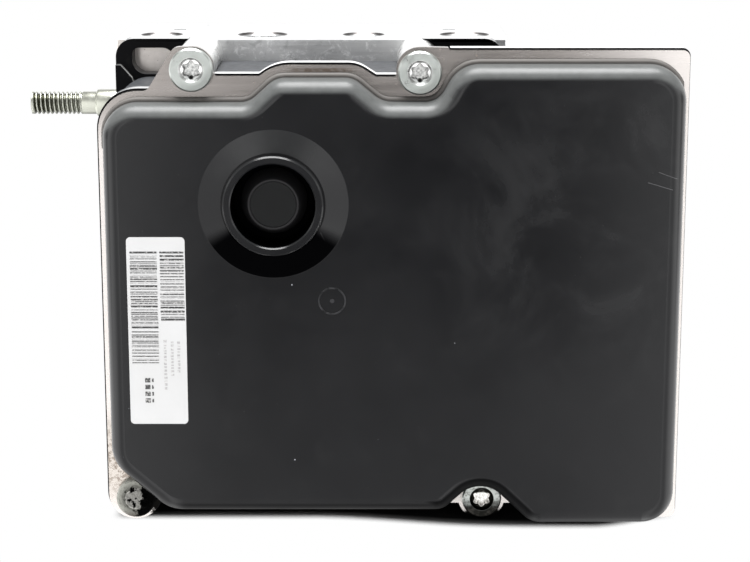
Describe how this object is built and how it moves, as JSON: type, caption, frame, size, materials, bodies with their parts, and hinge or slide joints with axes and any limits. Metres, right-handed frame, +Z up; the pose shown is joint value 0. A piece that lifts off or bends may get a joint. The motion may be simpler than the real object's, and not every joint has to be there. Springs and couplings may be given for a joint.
{
  "type": "abs brake module",
  "caption": "Anti-lock brake hydraulic unit: aluminium valve block with brake pipe ports, rear pump motor and a flat black control unit with vent on the front.",
  "frame": {"origin": "centre of the valve block's underside", "axes": "+X towards the connector side, +Y towards the pump motor, +Z up to the wheel ports"},
  "size_m": [0.1677, 0.1434, 0.1195],
  "materials": {
    "cover_plastic": "semi-gloss moulded",
    "vent_plastic": "moulded",
    "membrane": "matt film",
    "label_stock": "satin paper",
    "plate_metal": "bare rolled sheet",
    "board": "solder mask",
    "chip": "moulded",
    "capacitor": "satin",
    "pin_metal": "plated",
    "housing_plastic": "satin moulded",
    "seal_rubber": "matt",
    "screw_zinc": "zinc plated",
    "screw_rust": "corroded and dirty",
    "sleeve_steel": "turned",
    "block_alu": "milled extrusion",
    "steel": "machined",
    "spring_steel": "drawn wire",
    "copper": "enamelled wire",
    "nylon": "moulded",
    "motor_steel": "zinc plated deep-drawn",
    "magnet": "ferrite",
    "carbon": "pressed carbon",
    "stud_zinc": "zinc plated"
  },
  "bodies": {
    "module": {"ecu_cover": "cover_plastic", "vent_plug": "vent_plastic", "vent_membrane": "membrane", "cover_label": "label_stock", "carrier_plate": "plate_metal", "circuit_board": "board", "processor_chip": "chip", "driver_chips": "chip", "board_capacitors": "capacitor", "connector_pins": "pin_metal", "coil_terminals": "pin_metal", "motor_pins": "pin_metal", "ecu_housing": "housing_plastic", "housing_gasket": "seal_rubber", "ecu_screw_top_left": "screw_zinc", "ecu_screw_top_right": "screw_zinc", "ecu_screw_bottom_left": "screw_rust", "ecu_screw_bottom_right": "screw_zinc", "spacer_sleeves": "sleeve_steel", "valve_block": "block_alu", "passage_plugs": "steel", "inlet_valves": "steel", "outlet_valves": "steel", "valve_springs": "spring_steel", "coil_windings": "copper", "coil_bobbins": "nylon", "coil_yokes": "motor_steel", "motor_can": "motor_steel", "brush_holder": "nylon", "motor_seal": "seal_rubber", "carbon_brushes": "carbon", "brush_springs": "spring_steel", "motor_magnets": "magnet", "shaft_bearings": "steel", "motor_screws": "screw_zinc", "pump_cylinders": "steel", "pump_springs": "spring_steel", "delivery_balls": "steel", "pump_plugs": "steel", "accumulator_spring_left": "spring_steel", "accumulator_spring_right": "spring_steel", "accumulator_caps": "steel", "mounting_stud": "stud_zinc"},
    "pump_rotor": {"motor_shaft": "steel", "commutator": "copper", "armature_core": "steel", "armature_winding": "copper"},
    "eccentric_race": {"eccentric_ring": "steel"},
    "left_pump_piston": {"pump_piston_left": "steel"},
    "right_pump_piston": {"pump_piston_right": "steel"},
    "left_accumulator": {"accumulator_piston_left": "steel"},
    "right_accumulator": {"accumulator_piston_right": "steel"},
    "inlet_valve_armature_1": {"inlet_armature_1": "steel"},
    "outlet_valve_armature_1": {"outlet_armature_1": "steel"},
    "inlet_valve_armature_2": {"inlet_armature_2": "steel"},
    "outlet_valve_armature_2": {"outlet_armature_2": "steel"},
    "inlet_valve_armature_3": {"inlet_armature_3": "steel"},
    "outlet_valve_armature_3": {"outlet_armature_3": "steel"},
    "inlet_valve_armature_4": {"inlet_armature_4": "steel"},
    "outlet_valve_armature_4": {"outlet_armature_4": "steel"}
  },
  "joints": [
    {"name": "rotor_spin", "type": "hinge", "parent": "module", "child": "pump_rotor", "pos_m": [0, 0.03, 0.042], "axis": [0, 1, 0], "continuous": true},
    {"name": "race_roll", "type": "hinge", "parent": "pump_rotor", "child": "eccentric_race", "pos_m": [0, 0.008, 0.0432], "axis": [0, 1, 0], "continuous": true},
    {"name": "left_piston_slide", "type": "slide", "parent": "module", "child": "left_pump_piston", "axis": [1, 0, 0], "range_m": [0, 0.0012]},
    {"name": "right_piston_slide", "type": "slide", "parent": "module", "child": "right_pump_piston", "axis": [-1, 0, 0], "range_m": [0, 0.0012]},
    {"name": "left_accumulator_slide", "type": "slide", "parent": "module", "child": "left_accumulator", "axis": [0, 0, -1], "range_m": [0, 0.006], "stiffness_N_per_m": 1500, "springref_m": -0.004, "deforming": ["accumulator_spring_left"]},
    {"name": "right_accumulator_slide", "type": "slide", "parent": "module", "child": "right_accumulator", "axis": [0, 0, -1], "range_m": [0, 0.006], "stiffness_N_per_m": 1500, "springref_m": -0.004, "deforming": ["accumulator_spring_right"]},
    {"name": "inlet_valve_1_stroke", "type": "slide", "parent": "module", "child": "inlet_valve_armature_1", "axis": [0, 1, 0], "range_m": [0, 0.00035], "stiffness_N_per_m": 1500, "springref_m": -0.001},
    {"name": "outlet_valve_1_stroke", "type": "slide", "parent": "module", "child": "outlet_valve_armature_1", "axis": [0, -1, 0], "range_m": [0, 0.0003], "stiffness_N_per_m": 1500, "springref_m": -0.001},
    {"name": "inlet_valve_2_stroke", "type": "slide", "parent": "module", "child": "inlet_valve_armature_2", "axis": [0, 1, 0], "range_m": [0, 0.00035], "stiffness_N_per_m": 1500, "springref_m": -0.001},
    {"name": "outlet_valve_2_stroke", "type": "slide", "parent": "module", "child": "outlet_valve_armature_2", "axis": [0, -1, 0], "range_m": [0, 0.0003], "stiffness_N_per_m": 1500, "springref_m": -0.001},
    {"name": "inlet_valve_3_stroke", "type": "slide", "parent": "module", "child": "inlet_valve_armature_3", "axis": [0, 1, 0], "range_m": [0, 0.00035], "stiffness_N_per_m": 1500, "springref_m": -0.001},
    {"name": "outlet_valve_3_stroke", "type": "slide", "parent": "module", "child": "outlet_valve_armature_3", "axis": [0, -1, 0], "range_m": [0, 0.0003], "stiffness_N_per_m": 1500, "springref_m": -0.001},
    {"name": "inlet_valve_4_stroke", "type": "slide", "parent": "module", "child": "inlet_valve_armature_4", "axis": [0, 1, 0], "range_m": [0, 0.00035], "stiffness_N_per_m": 1500, "springref_m": -0.001},
    {"name": "outlet_valve_4_stroke", "type": "slide", "parent": "module", "child": "outlet_valve_armature_4", "axis": [0, -1, 0], "range_m": [0, 0.0003], "stiffness_N_per_m": 1500, "springref_m": -0.001}
  ],
  "couplings": [
    {"joint": "race_roll", "follows": "rotor_spin", "ratio": -1}
  ]
}
